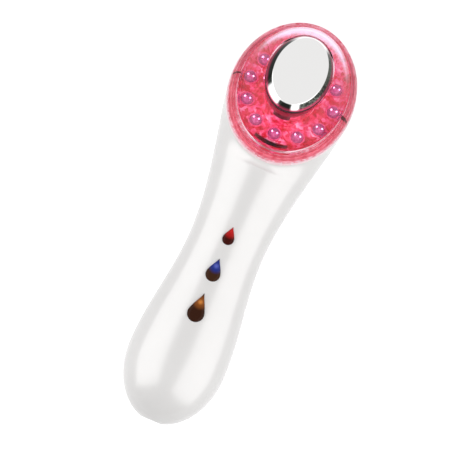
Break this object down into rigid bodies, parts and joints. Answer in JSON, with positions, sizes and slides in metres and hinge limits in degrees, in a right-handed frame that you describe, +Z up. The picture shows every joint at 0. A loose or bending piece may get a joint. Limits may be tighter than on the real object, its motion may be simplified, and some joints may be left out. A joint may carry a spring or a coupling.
{
  "type": "ultrasonic facial massager",
  "caption": "Handheld facial massager with a tapered white handle, drop-shaped keys, and a tilted pink lens around an oval metal probe plate.",
  "frame": {"origin": "centre of the bounding box's bottom, on the surface that the device lies on", "axes": "+Y along the handle from the charging socket to the head, +Z up out of the key side, +X across the handle"},
  "size_m": [0.0566, 0.1904, 0.0528],
  "materials": {
    "shell_white": "pearl gloss",
    "seal_pale": "pale translucent",
    "lens_pink": "clear pink, polished",
    "reflector_pink": "gloss",
    "led_clear": "clear",
    "probe_chrome": "mirror polish",
    "gasket_grey": "matt",
    "piezo_white": "fired",
    "nylon_pink": "moulded",
    "nylon_grey": "moulded",
    "key_red": "translucent, polished",
    "key_blue": "translucent, polished",
    "key_amber": "translucent, polished",
    "board_green": "solder mask",
    "chip_black": "moulded",
    "ferrite_grey": "sintered",
    "coil_copper": "enamelled",
    "screw_steel": "zinc plated",
    "can_aluminium": "sleeved",
    "connector_white": "moulded",
    "cell_wrap": "heat-shrink sleeve",
    "nickel": "plated",
    "plug_white": "satin",
    "socket_black": "moulded",
    "contact_brass": "plated",
    "lead_red": "insulated",
    "lead_white": "insulated"
  },
  "bodies": {
    "handle": {"front_shell": "shell_white", "back_shell": "shell_white", "lens_seal": "seal_pale", "light_lens": "lens_pink", "reflector": "reflector_pink", "led_board": "board_green", "led_board_screws": "screw_steel", "probe_cap": "probe_chrome", "probe_gasket": "gasket_grey", "piezo_disc": "piezo_white", "probe_clamp": "nylon_pink", "probe_screws": "screw_steel", "main_board": "board_green", "board_screws": "screw_steel", "controller_chip": "chip_black", "transformer_core": "ferrite_grey", "transformer_coil": "coil_copper", "power_transistor": "chip_black", "smoothing_capacitor": "can_aluminium", "beeper": "chip_black", "head_connector": "connector_white", "battery_connector": "connector_white", "battery_cell": "cell_wrap", "battery_cradle": "nylon_grey", "battery_tabs": "nickel", "charge_socket": "socket_black", "socket_pin": "contact_brass", "socket_spring": "contact_brass", "housing_screws": "screw_steel", "screw_plugs": "plug_white", "transducer_leads": "lead_red", "led_leads": "lead_white", "battery_leads": "lead_red", "led_01": "led_clear", "led_02": "led_clear", "led_03": "led_clear", "led_04": "led_clear", "led_05": "led_clear", "led_06": "led_clear", "led_07": "led_clear", "led_08": "led_clear", "led_09": "led_clear", "led_10": "led_clear", "led_11": "led_clear", "led_12": "led_clear", "red_switch": "chip_black", "red_key_led": "led_clear", "blue_switch": "chip_black", "blue_key_led": "led_clear", "amber_switch": "chip_black", "amber_key_led": "led_clear"},
    "red_key": {"red_button": "key_red", "red_plunger": "connector_white"},
    "blue_key": {"blue_button": "key_blue", "blue_plunger": "connector_white"},
    "amber_key": {"amber_button": "key_amber", "amber_plunger": "connector_white"}
  },
  "joints": [
    {"name": "red_press", "type": "slide", "parent": "handle", "child": "red_key", "axis": [0, 0, -1], "range_m": [0, 0.0005], "stiffness_N_per_m": 600, "springref_m": -0.0008},
    {"name": "blue_press", "type": "slide", "parent": "handle", "child": "blue_key", "axis": [0, 0, -1], "range_m": [0, 0.0005], "stiffness_N_per_m": 600, "springref_m": -0.0008},
    {"name": "amber_press", "type": "slide", "parent": "handle", "child": "amber_key", "axis": [0, 0, -1], "range_m": [0, 0.0005], "stiffness_N_per_m": 600, "springref_m": -0.0008}
  ]
}
